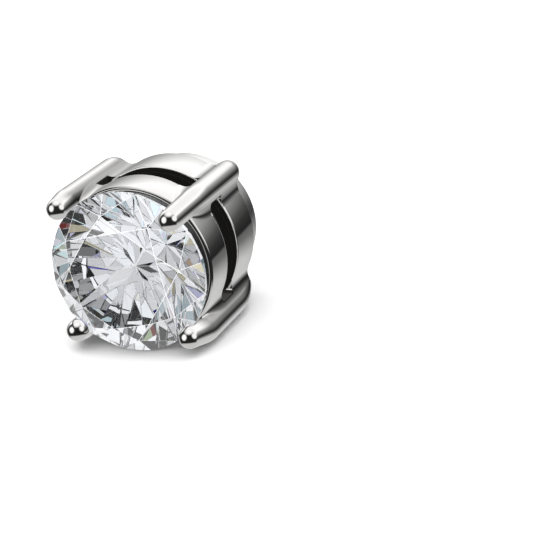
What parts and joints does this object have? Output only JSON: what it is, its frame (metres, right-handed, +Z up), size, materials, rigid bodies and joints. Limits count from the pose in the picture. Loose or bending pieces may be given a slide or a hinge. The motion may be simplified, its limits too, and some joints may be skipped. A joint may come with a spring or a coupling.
{
  "type": "magnetic stud earring",
  "caption": "Stud earring with a round clear cut stone in a banded prong setting, held at the ear lobe by a loose magnet disc.",
  "frame": {"origin": "bottom centre of the box, on the surface that the earring lies on", "axes": "+Z up, the stone's table faces -Y and the magnet disc is at +Y, as the earring lies on its side"},
  "size_m": [0.008, 0.0092, 0.008],
  "materials": {
    "polished_steel": "mirror-polished stainless steel",
    "clear_stone": "clear cubic zirconia, round brilliant cut",
    "plated_magnet": "smooth nickel-plated magnet",
    "satin_steel": "fine satin steel with polished bevels"
  },
  "bodies": {
    "jewel": {"setting": "polished_steel", "stone": "clear_stone", "magnet_front": "plated_magnet"},
    "disc": {"magnet_back": "satin_steel"}
  },
  "joints": [
    {"name": "disc_pull", "type": "slide", "parent": "jewel", "child": "disc", "axis": [0, 1, 0], "range_m": [0, 0.01], "stiffness_N_per_m": 8, "springref_m": -0.05}
  ]
}
